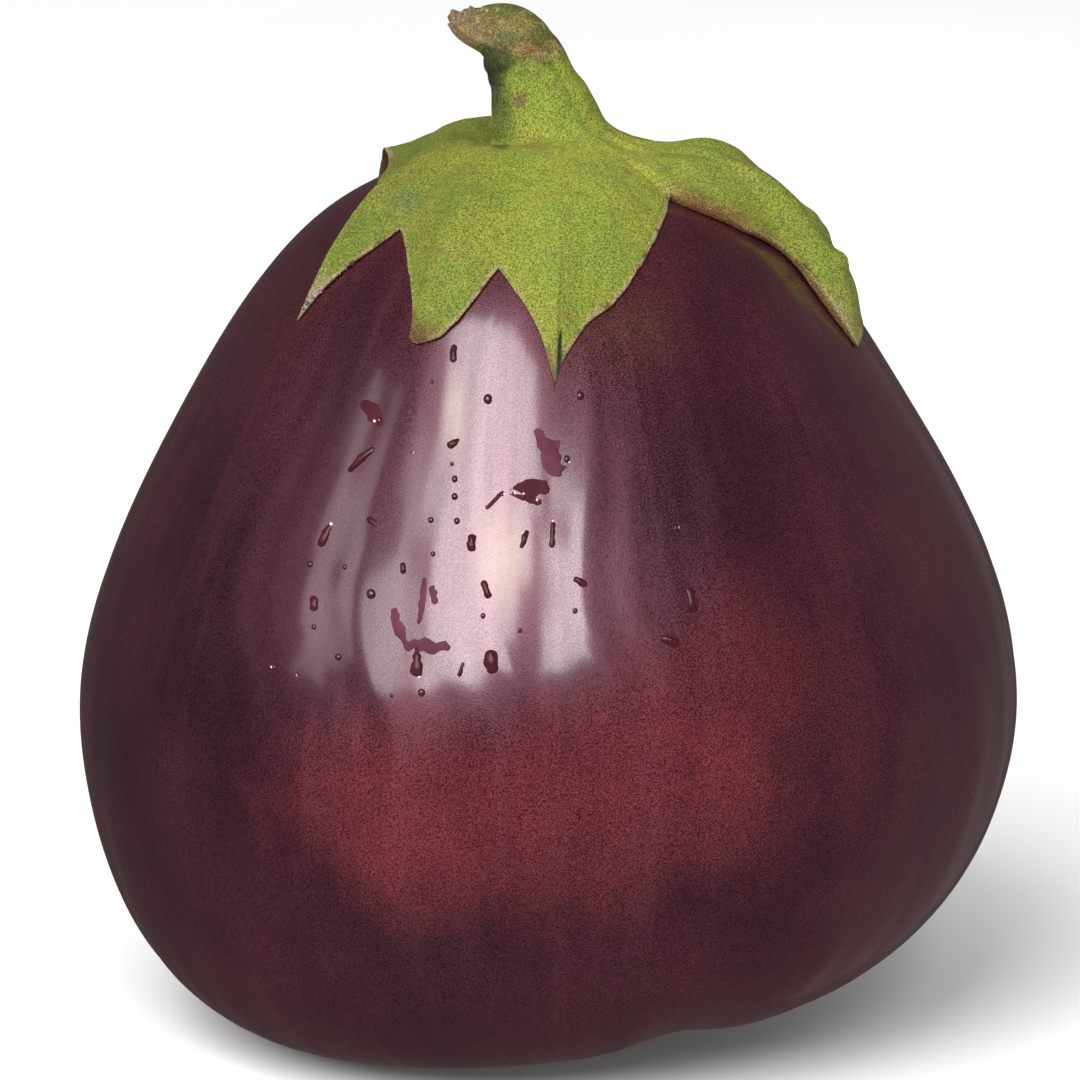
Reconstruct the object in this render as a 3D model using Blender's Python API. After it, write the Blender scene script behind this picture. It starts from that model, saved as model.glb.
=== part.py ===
"""A globe eggplant as picked: a squat purple fruit under a green calyx of seven sepals and its cut stem.

It stands on the flat of its underside, with +Z up and the side that the sepals show best towards -Y.
The origin is the middle of its outline on the surface it rests on. Lengths are in millimetres until
the meshes are written. A place on the fruit's skin is given by an angle, from the front towards +X,
and by the length along the skin from the crown, where the stem grows.
"""

import math

import bpy
import numpy as np

MM = 0.001

# Fruit: mean outline as radius and height, from the blossom end up to the crown
OUTLINE = [
    (0.0, -0.6),
    (22.5, 0.9),
    (42.4, 6.0),
    (52.8, 15.8),
    (58.2, 28.0),
    (60.1, 43.0),
    (57.6, 56.5),
    (52.2, 69.5),
    (45.0, 82.5),
    (37.0, 95.0),
    (26.0, 106.0),
    (13.0, 111.3),
    (0.0, 112.6),
]
FRUIT_COLUMNS = 64
FRUIT_ROWS = 36

# Skin: waves round the fruit, as count, share of the radius and phase
FACETS = [(5, 0.007, 0.6), (9, 0.004, 2.0), (14, 0.0025, 0.5)]
LOBES = [(3, 0.012, 2.6), (4, 0.010, 2.2)]
FACETS_FROM = 30.0
FACETS_GROW = 40.0
LOBES_BELOW = 34.0
CROWN_TOP = 116.0
CROWN_FADE = 12.0

# Middle: it is a little fuller on the right, by this much at this height, fading over this distance
BOW = 0.9
BOW_HEIGHT = 62.0
BOW_REACH = 20.0

# Underside: it sags to the left and lifts to the right, below the widest part
UNDERSIDE_SLOPE = 0.09
UNDERSIDE_TOP = 46.0

# Blossom end: a shallow cup round the scar, and the folds that run out of it, by their directions
SCAR_PLACE = (10.0, -7.0)
SCAR_WIDTH = 6.5
SCAR_DEPTH = 1.6
FOLD_ANGLES = (13.0, 128.0, 262.0)
FOLD_DEPTH = 1.5
FOLD_WIDTH = 3.2
FOLD_SPREAD = 0.12
FOLD_START = 9.0
FOLD_LENGTH = 58.0
FOLD_FADE = 30.0
BLOSSOM_TOP = 26.0
BLOSSOM_FADE = 20.0

# Calyx: each sepal as name, thickness at its root, keel height, lift of its left and right edges, then the
# left edge from the notch to the tip and the right edge from there on, as angles and skin lengths
SEPALS = [
    ("left", 3.2, 1.2, 0.3, 0.3, [(-90, 21), (-62, 28.3), (-53.5, 43)], [(-46.5, 36.7)]),
    ("front_left", 3.0, 1.2, 0.3, 0.3, [(-42, 28), (-29, 37), (-25, 41), (-27, 43)], [(-19, 43), (-15, 37)]),
    ("front", 3.0, 1.4, 0.3, 0.3, [(-11, 32.5), (-5, 39), (1, 48.8)], [(4.5, 45.5), (11.5, 40), (24, 32.5)]),
    ("right", 2.6, 5.0, 1.2, 1.0, [(42.8, 22), (58, 31.5), (68, 48.6)], [(76, 47), (99, 37)]),
    ("back_right", 1.4, 1.2, 0.4, 0.4, [(118, 22), (124, 34), (134, 44)], [(144, 35)]),
    ("back", 1.8, 1.2, 0.4, 0.4, [(160, 25), (170, 35), (183, 43)], [(193, 34)]),
    ("back_left", 4.0, 2.2, 0.4, 1.8, [(205, 24), (213, 34), (220, 40)], [(231, 27), (250, 21.5)]),
]
COLUMN_WIDTH = 3.2
SHOULDER = 13.0
CORE_LENGTH = 6.0
SKIN_GAP = 0.4
EDGE_THICKNESS = 0.9
SHEET_ROWS = 8

# Keel of a sepal, along the way from its root at 0 to its edge at 1
KEEL_AT_ROOT = 0.25
KEEL_FULL_FROM = 0.45
KEEL_FADE = 0.6
HOLLOW_FROM = 0.35

# Stem: centre line and radius, from the crown to the cut end
STEM = [
    (0.4, 0.0, 115.0, 7.9),
    (-0.4, 0.0, 117.7, 6.5),
    (-1.3, -0.2, 120.5, 5.9),
    (-2.3, -0.4, 123.3, 5.25),
    (-3.6, -0.7, 126.0, 4.7),
    (-5.5, -1.0, 127.8, 4.1),
    (-8.1, -1.3, 128.4, 3.0),
    (-10.0, -1.5, 128.9, 2.3),
    (-11.3, -1.6, 129.7, 1.8),
]
STEM_ROWS = 10
STEM_RIDGE = 0.05
FILLET_ROWS = 3
FILLET_REACH = 0.4

# Cut end: its ragged rim as waves of count, height and phase, and the hollow inside the rim
RAGGED = [(2, 0.8, -0.6), (5, 0.4, 1.0)]
RAGGED_SECOND_ROW = 0.3
CUT_RIM = 0.55
CUT_DEPTH = 0.6

# Colours of the materials
SKIN_COLOUR = (0.052, 0.018, 0.025, 1.0)
SKIN_ROUGHNESS = 0.3
GREEN_COLOUR = (0.26, 0.31, 0.055, 1.0)
GREEN_ROUGHNESS = 0.7


def ease(x):
    """Smooth step from 0 to 1 as x goes from 0 to 1."""
    x = np.clip(x, 0.0, 1.0)
    return x * x * (3 - 2 * x)


def spline(points, count, closed=False):
    """Cubic spline through the points by chord length: count samples, evenly spread along it."""
    p = np.asarray(points, float)
    if closed:
        p = np.vstack([p, p[:1]])
    spans = np.linalg.norm(np.diff(p, axis=0), axis=1)
    last = len(p) - 1
    a = np.eye(len(p))
    b = np.zeros_like(p)
    for i in range(0 if closed else 1, last):
        before = (i - 1) % last
        h0, h1 = spans[before], spans[i]
        a[i, i] = 2 * (h0 + h1)
        a[i, before] = h0
        a[i, (i + 1) % last if closed else i + 1] = h1
        b[i] = 6 * ((p[i + 1] - p[i]) / h1 - (p[i] - p[before]) / h0)
    if closed:
        a[last, 0] = -1.0
    bend = np.linalg.solve(a, b)
    ends = np.cumsum(spans)
    at = np.linspace(0, ends[-1], count)
    i = np.minimum(np.searchsorted(ends, at, side="right"), last - 1)
    u = ((at - ends[i] + spans[i]) / spans[i])[:, None]
    h = (spans[i] ** 2)[:, None] / 6
    straight = (1 - u) * p[i] + u * p[i + 1]
    return straight + h * (((1 - u) ** 3 - (1 - u)) * bend[i] + (u**3 - u) * bend[i + 1])


def mean_outline():
    """Skin length from the crown, radius and height along the mean outline, crown to blossom end."""
    mirrored = [(-radius, height) for radius, height in OUTLINE[1:-1]]
    loop = spline(OUTLINE[::-1] + mirrored, 4001, closed=True)
    half = loop[: np.argmax((np.arange(len(loop)) > 100) & (loop[:, 0] <= 0)) + 1]
    half[-1, 0] = 0.0
    steps = np.linalg.norm(np.diff(half, axis=0), axis=1)
    return np.concatenate([[0.0], np.cumsum(steps)]), half[:, 0], half[:, 1]


SKIN, RADIUS, HEIGHT = mean_outline()


def waves(angle, terms):
    """Sum of cosine waves round the fruit or the stem."""
    return sum(height * np.cos(count * angle + phase) for count, height, phase in terms)


def ribs(angle, height):
    """Swelling of the radius as a share of it: soft long facets above, broad lobes below."""
    upper = ease((height - FACETS_FROM) / FACETS_GROW) * ease((CROWN_TOP - height) / CROWN_FADE)
    lower = ease((LOBES_BELOW - height) / LOBES_BELOW)
    return waves(angle, FACETS) * upper + waves(angle, LOBES) * lower


def blossom_relief(x, y, height):
    """Height that the cup and the folds of the blossom end raise the underside by."""
    dx = x - SCAR_PLACE[0]
    dy = y - SCAR_PLACE[1]
    raised = SCAR_DEPTH * np.exp(-(dx**2 + dy**2) / SCAR_WIDTH**2)
    for fold in FOLD_ANGLES:
        turn = math.radians(fold)
        along = dx * math.sin(turn) - dy * math.cos(turn)
        across = dx * math.cos(turn) + dy * math.sin(turn)
        width = FOLD_WIDTH + FOLD_SPREAD * np.abs(along)
        reach = ease(along / FOLD_START) * ease((FOLD_LENGTH - along) / FOLD_FADE)
        raised = raised + FOLD_DEPTH * np.exp(-((across / width) ** 2)) * reach
    return raised * ease((BLOSSOM_TOP - height) / BLOSSOM_FADE)


def skin_point(angle, length):
    """Point of the fruit's skin: the ribbed mean outline, sloped and folded below, flat where it rests."""
    radius = np.interp(length, SKIN, RADIUS)
    height = np.interp(length, SKIN, HEIGHT)
    radius = radius * (1 + ribs(angle, height))
    x = radius * np.sin(angle) + BOW * np.exp(-(((height - BOW_HEIGHT) / BOW_REACH) ** 2))
    y = -radius * np.cos(angle)
    height = height + UNDERSIDE_SLOPE * x * ease((UNDERSIDE_TOP - height) / UNDERSIDE_TOP)
    height = height + blossom_relief(x, y, height)
    return np.stack([x, y, np.maximum(height, 0.0)], axis=-1)


def above_skin(angle, length, height):
    """Point at a height square to the skin."""
    turn, step = 0.02, 0.3
    around = skin_point(angle + turn, length) - skin_point(angle - turn, length)
    along = skin_point(angle, length + step) - skin_point(angle, length - step)
    normal = np.cross(along, around)
    normal /= np.linalg.norm(normal, axis=-1, keepdims=True)
    return skin_point(angle, length) + normal * np.asarray(height)[..., None]


def flat_place(angle, length):
    """Place on the skin laid out flat: x to the right and y to the front of the crown."""
    return np.stack([length * np.sin(angle), length * np.cos(angle)], axis=-1)


def calyx_columns():
    """Root angle, flat place of the edge, side from -1 over the tip at 0 to 1, keel height and edge lift."""
    columns = []
    for k, (_, _, keel, lift_left, lift_right, left, right) in enumerate(SEPALS):
        following = SEPALS[(k + 1) % len(SEPALS)][5][0]
        end = (following[0] + (360 if k + 1 == len(SEPALS) else 0), following[1])
        found = []
        for corners, side_from in ((left, -1.0), (left[-1:] + right + [end], 0.0)):
            places = flat_place(np.radians([c[0] for c in corners]), np.array([c[1] for c in corners]))
            length = np.linalg.norm(np.diff(places, axis=0), axis=1).sum()
            count = max(4, round(length / COLUMN_WIDTH))
            for share, place in zip(np.arange(count) / count, spline(places, count + 1)):
                found.append((place[0], place[1], side_from + share))
        for i, (x, y, side) in enumerate(found):
            root = math.radians(left[0][0] + (end[0] - left[0][0]) * i / len(found))
            columns.append((root, x, y, side, keel, lift_left if side < 0 else lift_right))
    return np.array(columns)


def root_thickness(root):
    """Thickness of the calyx at the foot of the stem, blended from sepal to sepal."""
    angles = [math.radians((sepal[5][0][0] + sepal[5][-1][0]) / 2) for sepal in SEPALS]
    return np.interp(root, angles, [sepal[1] for sepal in SEPALS], period=2 * math.pi)


def sheet_heights(t, root, side, keel, lift):
    """Heights of the underside and the top above the skin, at the share t of the way to the edge."""
    ridge = np.cos(np.pi * side / 2) ** 2
    growth = KEEL_AT_ROOT + (1 - KEEL_AT_ROOT) * ease(t / KEEL_FULL_FROM)
    rise = keel * ridge * growth * ease((1 - t) / KEEL_FADE)
    curl = lift * np.sin(np.pi * np.abs(side)) * t**2
    thickness = EDGE_THICKNESS + (root_thickness(root) - EDGE_THICKNESS) * (1 - t) ** 2
    under = SKIN_GAP + rise * ease(t / HOLLOW_FROM) + curl
    return under, SKIN_GAP + rise + curl + thickness


def stem_rings(columns):
    """Rings of the stem from the ragged cut end down to the crown."""
    root, side = columns[:, 0], columns[:, 3]
    path = spline(STEM[::-1], STEM_ROWS)
    centre, radius = path[:, :3], path[:, 3]
    inward = np.gradient(centre, axis=0)
    inward /= np.linalg.norm(inward, axis=1, keepdims=True)
    front = np.array([0.0, -1.0, 0.0])
    forward = front - (inward @ front)[:, None] * inward
    forward /= np.linalg.norm(forward, axis=1, keepdims=True)
    sideways = np.cross(forward, inward)
    around = np.sin(root)[:, None] * sideways[:, None] + np.cos(root)[:, None] * forward[:, None]
    ridged = 1 + STEM_RIDGE * np.cos(np.pi * side) / 2
    rings = centre[:, None] + around * (radius[:, None] * ridged)[..., None]
    ragged = waves(root, RAGGED)[:, None]
    rings[0] -= inward[0] * ragged
    rings[1] -= inward[1] * ragged * RAGGED_SECOND_ROW
    hollow = centre[0] + CUT_RIM * (rings[0] - centre[0]) + CUT_DEPTH * inward[0]
    return [hollow] + list(rings)


def calyx_rings():
    """Rings of the calyx and stem: cut end, stem, flare, top of the sepals, their underside."""
    columns = calyx_columns()
    root, edge, side, keel, lift = columns[:, 0], columns[:, 1:3], columns[:, 3], columns[:, 4], columns[:, 5]
    start = flat_place(root, np.full(len(root), SHOULDER))
    top, under = [], []
    for t in np.linspace(0, 1, SHEET_ROWS + 1):
        place = start + (edge - start) * t
        angle = np.arctan2(place[:, 0], place[:, 1])
        length = np.linalg.norm(place, axis=1)
        low, high = sheet_heights(t, root, side, keel, lift)
        top.append(above_skin(angle, length, high))
        under.append(above_skin(angle, length, low))
    rings = stem_rings(columns)
    foot, shoulder = rings[-1], top[0]
    corner = np.column_stack([(foot + FILLET_REACH * (shoulder - foot))[:, :2], shoulder[:, 2]])
    for t in np.arange(1, FILLET_ROWS + 1) / (FILLET_ROWS + 1):
        rings.append((1 - t) ** 2 * foot + 2 * t * (1 - t) * corner + t**2 * shoulder)
    core = above_skin(root, np.full(len(root), CORE_LENGTH), np.full(len(root), SKIN_GAP))
    return rings + top + under[::-1] + [core]


def fruit_rings():
    """Rings of the fruit from the crown to the blossom end, without the two poles."""
    angle = np.arange(FRUIT_COLUMNS) / FRUIT_COLUMNS * 2 * np.pi
    lengths = np.linspace(0, SKIN[-1], FRUIT_ROWS + 1)[1:-1]
    return [skin_point(angle, length) for length in lengths]


# Blender objects


def closed_mesh(name, rings, first_pole, last_pole):
    """Closed mesh from rings of equal count, with a fan of triangles to a pole at each end."""
    rings = np.asarray(rings)
    rows, columns = rings.shape[:2]
    points = np.vstack([rings.reshape(-1, 3), [first_pole, last_pole]]) * MM
    first, last = rows * columns, rows * columns + 1
    faces = []
    for j in range(columns):
        k = (j + 1) % columns
        faces.append((first, j, k))
        faces.append((last, (rows - 1) * columns + k, (rows - 1) * columns + j))
        for i in range(rows - 1):
            above, below = i * columns, (i + 1) * columns
            faces.append((above + j, below + j, below + k, above + k))
    mesh = bpy.data.meshes.new(name)
    mesh.from_pydata(points.tolist(), [], faces)
    mesh.shade_smooth()
    return mesh


def principled(name, colour, roughness):
    """Plain material with a colour and a roughness."""
    material = bpy.data.materials.new(name)
    material.use_nodes = True
    shader = material.node_tree.nodes["Principled BSDF"]
    shader.inputs["Base Color"].default_value = colour
    shader.inputs["Roughness"].default_value = roughness
    material.diffuse_color = colour
    return material


def add_object(name, mesh, material):
    """Object in the scene, placed at the origin."""
    mesh.materials.append(material)
    item = bpy.data.objects.new(name, mesh)
    bpy.context.scene.collection.objects.link(item)


def main():
    for item in list(bpy.data.objects):
        bpy.data.objects.remove(item, do_unlink=True)
    fruit = np.array(fruit_rings())
    calyx = np.array(calyx_rings())
    low, high = fruit.min(axis=(0, 1)), fruit.max(axis=(0, 1))
    middle = np.array([(low[0] + high[0]) / 2, (low[1] + high[1]) / 2, 0.0])
    crown, blossom_end = skin_point(0.0, 0.0), skin_point(0.0, SKIN[-1])
    cut_middle = calyx[0].mean(axis=0)
    core_middle = crown + np.array([0.0, 0.0, SKIN_GAP])
    skin = principled("purple_skin", SKIN_COLOUR, SKIN_ROUGHNESS)
    green = principled("green_calyx", GREEN_COLOUR, GREEN_ROUGHNESS)
    add_object("fruit", closed_mesh("fruit", fruit - middle, crown - middle, blossom_end - middle), skin)
    calyx_mesh = closed_mesh("calyx_and_stem", calyx - middle, cut_middle - middle, core_middle - middle)
    add_object("calyx_and_stem", calyx_mesh, green)


main()
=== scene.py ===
"""Looks of a globe eggplant as picked: glossy purple fruit, green calyx with its cut stem, and water drops.

Shapes are worked out in millimetres in the same frame as the solids before they are centred, and turned
into metres when a mesh is made. A place on the skin is an angle, from the front towards +X, and the
length along the skin from the crown.
"""

import math

import bmesh
import bpy
import numpy as np
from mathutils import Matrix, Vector


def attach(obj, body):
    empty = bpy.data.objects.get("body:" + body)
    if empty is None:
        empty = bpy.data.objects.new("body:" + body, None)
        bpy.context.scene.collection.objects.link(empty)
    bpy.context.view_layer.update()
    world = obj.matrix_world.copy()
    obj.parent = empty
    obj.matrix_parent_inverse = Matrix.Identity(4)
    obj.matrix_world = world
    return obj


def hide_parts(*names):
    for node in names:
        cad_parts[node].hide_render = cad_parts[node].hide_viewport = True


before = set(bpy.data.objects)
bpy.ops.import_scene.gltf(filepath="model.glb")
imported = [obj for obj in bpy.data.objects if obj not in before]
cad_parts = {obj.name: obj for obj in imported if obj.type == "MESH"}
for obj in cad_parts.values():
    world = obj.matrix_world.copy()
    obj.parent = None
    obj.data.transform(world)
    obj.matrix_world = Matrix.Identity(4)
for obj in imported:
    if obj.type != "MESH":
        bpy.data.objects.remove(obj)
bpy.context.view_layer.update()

MM = 0.001
# More than any height or distance that it stands for
UNLIMITED = 99.0

# Camera, from the front: the frame takes in the view's width at the view's centre
FRAME = 1080
VIEW_CENTRE = np.array([-0.8, 0.0, 62.1])
VIEW_ELEVATION = math.radians(12.5)
VIEW_DISTANCE = 750.0
VIEW_WIDTH = 138.24
SENSOR = 36.0
BACK = np.array([0.0, -math.cos(VIEW_ELEVATION), math.sin(VIEW_ELEVATION)])
UP = np.array([0.0, math.sin(VIEW_ELEVATION), math.cos(VIEW_ELEVATION)])
EYE = VIEW_CENTRE + VIEW_DISTANCE * BACK

# Fruit, as in the solids: radius and height of its mean outline
OUTLINE = [
    (0.0, -0.6), (22.5, 0.9), (42.4, 6.0), (52.8, 15.8), (58.2, 28.0), (60.1, 43.0),
    (57.6, 56.5), (52.2, 69.5), (45.0, 82.5), (37.0, 95.0), (26.0, 106.0), (13.0, 111.3),
    (0.0, 112.6),
]
OUTLINE_SAMPLES = 4001
START_SAMPLES = 100
MIDDLE_SAMPLES = (721, 361)
# Waves round the fruit, and further down the stem: how many, their height and their phase
FACETS = [(5, 0.007, 0.6), (9, 0.004, 2.0), (14, 0.0025, 0.5)]
LOBES = [(3, 0.012, 2.6), (4, 0.01, 2.2)]
FACETS_FROM = 30.0
FACETS_GROW = 40.0
LOBES_BELOW = 34.0
CROWN_TOP = 116.0
CROWN_FADE = 12.0
BOW = 0.9
BOW_HEIGHT = 62.0
BOW_REACH = 20.0
UNDERSIDE_SLOPE = 0.09
UNDERSIDE_TOP = 46.0
SCAR_PLACE = (10.0, -7.0)
SCAR_WIDTH = 6.5
SCAR_DEPTH = 1.6
FOLD_ANGLES = (13.0, 128.0, 262.0)
FOLD_DEPTH = 1.5
FOLD_WIDTH = 3.2
FOLD_SPREAD = 0.12
FOLD_START = 9.0
FOLD_LENGTH = 58.0
FOLD_FADE = 30.0
BLOSSOM_TOP = 26.0
BLOSSOM_FADE = 20.0

# Smooth noises: seed and cell size
NOISE_CELLS = 64
RIPPLE_NOISE = (8, 25.0)
SCAR_NOISE = (2, 1.3)
NIBBLE_NOISE = (11, 1.7)
WAVE_NOISE = (5, 4.5)
LUMP_NOISE = (6, 3.2)
KNOB_NOISE = (3, 2.2)
FILM_NOISE = (13, 4.0)

# Fine skin that only the looks have: ripples that run from the crown down, and the rim of the scar
FRUIT_COLUMNS = 400
FRUIT_ROWS = 240
FRONT_CROWDING = 0.45
RIPPLES = [(23, 0.0007, 1.1), (37, 0.0006, 0.3), (58, 0.0003, 2.4)]
RIPPLES_GROW = 25.0
RIPPLES_FADE = 60.0
RIPPLE_WANDER = 0.12
SCAR_RIM = 5.2
SCAR_RIM_WIDTH = 1.1
SCAR_RIM_HEIGHT = 0.35
SCAR_CRUMBS = 0.6
SHADE_WITHIN = 75.0
SHADE_FADE = 5.0
SHADE_STEP = 4
GRAIN_SPREAD = 50.0
GRAIN_SQUEEZE = 0.07

# Calyx, close to the solids but with finer edges: name, root thickness, keel, lift of the left and the
# right edge, extra wall at the left notch, and the places of the left edge, notch to tip, and the right one
SEPALS = [
    (
        "left", 3.2, 1.2, 0.1, 0.1, 0.0,
        [
            (-90, 21), (-77, 22.4), (-67.6, 25), (-61.5, 28.2),
            (-57.4, 31.8), (-55.8, 35.5), (-55, 39.5), (-54.6, 43.4),
        ],
        [(-53.2, 40.4), (-51.8, 38), (-49.4, 35.2), (-46.6, 32.6), (-44.4, 30.3)],
    ),
    (
        "front_left", 3.0, 1.2, 0.1, 0.1, 0.0,
        [(-42.5, 28), (-35.3, 32), (-30.8, 35.8), (-27.9, 39.2), (-26.7, 41.5), (-26.3, 43.4)],
        [(-25, 44.1), (-23, 43.9), (-20, 43), (-17.6, 40.9), (-15.2, 38.4), (-13, 35.4)],
    ),
    (
        "front", 3.0, 1.4, 0.1, 0.1, 0.0,
        [(-10.9, 32.8), (-8.5, 34.7), (-5.4, 37.4), (-2.9, 40), (-1.2, 42.6), (0.1, 45.6), (1.2, 48.8)],
        [
            (2.4, 46.2), (4.6, 43.7), (8, 41), (12.8, 38.7),
            (18.4, 35.6), (22.9, 32.6), (29.4, 28.8), (38, 24.8),
        ],
    ),
    (
        "right", 1.5, 4.6, 0.15, 1.2, 1.3,
        [
            (44.5, 22), (47.5, 24), (51.5, 26.2), (56.2, 28.7), (60.1, 31),
            (64.2, 33), (66.4, 35), (67, 41.5), (69.5, 49),
        ],
        [(73.5, 48), (80, 43.5), (88, 40.5), (99, 36), (110, 29.5)],
    ),
    (
        "back_right", 1.4, 1.2, 0.3, 0.3, 0.0,
        [(118, 22), (121, 28), (124, 34), (129, 39), (134, 44)],
        [(140, 38.5), (144, 35), (151, 29)],
    ),
    (
        "back", 1.8, 1.2, 0.3, 0.3, 0.0,
        [(160, 25), (164, 29.5), (170, 35), (177, 40), (183, 43)],
        [(189, 37), (193, 34), (199, 29)],
    ),
    (
        "back_left", 3.6, 1.0, 0.4, 2.2, 0.0,
        [(205, 24), (209, 29), (213, 34), (217, 38), (220, 40)],
        [(225, 33), (231, 27), (250, 21.5)],
    ),
]
SEPAL_NAMES = [sepal[0] for sepal in SEPALS]
SHOULDER = 13.0
CORE_LENGTH = 6.0
SKIN_GAP = 0.4
EDGE_GAP = 0.08
EDGE_GAP_FROM = 0.55
EDGE_THICKNESS = 0.55
EDGE_ROUNDING = 0.35
ROUNDING_FROM = 0.88
KEEL_AT_ROOT = 0.05
KEEL_FULL_FROM = 0.45
KEEL_FADE = 0.6
HOLLOW_FROM = 0.35
WALL_SHAPE = 0.7

# Fine form of the sepals
COLUMN_WIDTH = 0.8
SHEET_ROWS = 50
UNDER_ROWS = 12
RIM_ROWS = 5
RIM_BULGE = 0.18
MIDRIB_HEIGHT = 0.05
MIDRIB_WIDTH = 0.16
MIDRIB_FROM = 0.5
WAVE_HEIGHT = 0.6
EDGE_NIBBLE = 0.3
LUMP_HEIGHT = 0.14
LUMP_FADE = 0.3
# Folds along a sepal: sepal, place across it, half width across it, height
FOLDS = [
    ("right", -0.62, 0.15, 0.45),
    ("right", -0.3, 0.13, -0.6),
    ("front", 0.45, 0.2, 0.15),
    ("left", 0.3, 0.2, -0.2),
]
# Slits in the tips: sepal, place across it, half width across it, share of the way it starts at, depth
SLITS = [
    ("front", 0.055, 0.02, 0.82, 0.4),
    ("right", 0.2, 0.05, 0.74, 0.5),
]
SLIT_FADE = 0.08
SLIT_DEEPEST = 0.8
# Lumps and blunt prickles: angle, skin length, height, radius
PRICKLES = [
    (64, 13.6, 0.6, 1.6), (84, 13.6, 0.6, 2.0), (80, 18.8, 1.9, 6.5), (80, 28.0, -0.9, 6.0),
    (74, 42.0, 2.0, 9.0), (75, 34.0, 0.8, 2.6), (72, 39.5, 1.0, 2.2), (76, 36.0, 0.7, 1.8),
    (101, 28.5, 0.5, 1.3), (90, 35.5, 0.9, 1.4), (-96, 18.0, 0.5, 1.5), (-50, 26.0, 0.25, 1.0),
    (-22, 24.0, 0.25, 1.0), (16, 27.0, 0.3, 1.1), (140, 26.0, 0.6, 1.2), (182, 22.0, 0.6, 1.2),
    (186, 31.0, 0.6, 1.2), (-131, 20.5, -0.1, 7.0),
]

# Stem, close to the solids: x, y, height and radius of its stations, and its fine form
STEM = [
    (0.1, 0.0, 114.5, 7.6), (-0.5, 0.0, 117.1, 6.7), (-1.35, -0.1, 119.9, 5.85), (-2.3, -0.3, 122.7, 5.2),
    (-3.6, -0.6, 125.1, 4.85), (-5.7, -1.0, 127.35, 4.05), (-8.2, -1.3, 128.25, 2.95),
    (-10.0, -1.5, 129.0, 2.35), (-10.8, -1.6, 129.8, 2.0),
]
STEM_ROWS = 70
STEM_RIDGE = 0.05
STEM_FURROWS = [(11, 0.01, 0.4), (17, 0.007, 1.9)]
STEM_KNOBS = 0.035
KNOBS_ROUND = 4
KNOBS_START = 9
CREASE_HEIGHT = 124.9
CREASE_WIDTH = 0.55
CREASE_DEPTH = 0.055
CREASE_SIDES = 0.6
FILLET_ROWS = 14
FILLET_REACH = 0.4
FILLET_DROP = 0.1
JOIN_ROUNDS = 30
JOIN_ROWS = 12
JOIN_SIDES = 0.12
JOIN_FROM = -0.1
JOIN_FULL = 0.8
RAGGED = [(1, 0.3, 1.57), (2, 0.5, -0.6), (5, 0.3, 1.0), (11, 0.15, 0.7)]
RAGGED_REACH = 1.8
CUT_REACH = 1.2
# Rings in the hollow of the cut: share of the rim's radius and depth
CUT_RINGS = [(0.8, 0.1), (0.55, 0.6), (0.3, 0.9), (0.1, 0.9)]


def ease(x):
    """Smooth step from 0 to 1 as x goes from 0 to 1."""
    x = np.clip(x, 0.0, 1.0)
    return x * x * (3 - 2 * x)


def bell(x, width):
    """Bell curve: e to the power of minus the square of x over the width."""
    return np.exp(-((x / width) ** 2))


def unit(vectors):
    """Vectors divided by their lengths."""
    return vectors / np.linalg.norm(vectors, axis=-1, keepdims=True)


def way_along(points):
    """Length of the path through the points up to each of them."""
    return np.concatenate([[0.0], np.cumsum(np.linalg.norm(np.diff(points, axis=0), axis=1))])


def spline(points, count, closed=False):
    """Cubic spline through the points by chord length: count samples, evenly spread along it."""
    p = np.asarray(points, float)
    if closed:
        p = np.vstack([p, p[:1]])
    spans = np.linalg.norm(np.diff(p, axis=0), axis=1)
    last = len(p) - 1
    a = np.eye(len(p))
    b = np.zeros_like(p)
    for i in range(0 if closed else 1, last):
        before = (i - 1) % last
        h0, h1 = spans[before], spans[i]
        a[i, i] = 2 * (h0 + h1)
        a[i, before] = h0
        a[i, (i + 1) % last if closed else i + 1] = h1
        b[i] = 6 * ((p[i + 1] - p[i]) / h1 - (p[i] - p[before]) / h0)
    if closed:
        a[last, 0] = -1.0
    bend = np.linalg.solve(a, b)
    ends = np.cumsum(spans)
    at = np.linspace(0, ends[-1], count)
    i = np.minimum(np.searchsorted(ends, at, side="right"), last - 1)
    u = ((at - ends[i] + spans[i]) / spans[i])[:, None]
    h = (spans[i] ** 2)[:, None] / 6
    straight = (1 - u) * p[i] + u * p[i + 1]
    return straight + h * (((1 - u) ** 3 - (1 - u)) * bend[i] + (u**3 - u) * bend[i + 1])


def mean_outline():
    """Skin length from the crown, radius and height along the mean outline, crown to blossom end."""
    mirrored = [(-radius, height) for radius, height in OUTLINE[1:-1]]
    loop = spline(OUTLINE[::-1] + mirrored, OUTLINE_SAMPLES, closed=True)
    crossed = (np.arange(len(loop)) > START_SAMPLES) & (loop[:, 0] <= 0)
    half = loop[: np.argmax(crossed) + 1]
    half[-1, 0] = 0.0
    return way_along(half), half[:, 0], half[:, 1]


SKIN, RADIUS, HEIGHT = mean_outline()


def waves(angle, terms):
    """Sum of cosine waves round the fruit or the stem."""
    return sum(height * np.cos(count * angle + phase) for count, height, phase in terms)


def ribs(angle, height):
    """Swelling of the radius as a share of it: soft long facets above, broad lobes below."""
    upper = ease((height - FACETS_FROM) / FACETS_GROW) * ease((CROWN_TOP - height) / CROWN_FADE)
    lower = ease((LOBES_BELOW - height) / LOBES_BELOW)
    return waves(angle, FACETS) * upper + waves(angle, LOBES) * lower


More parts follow.
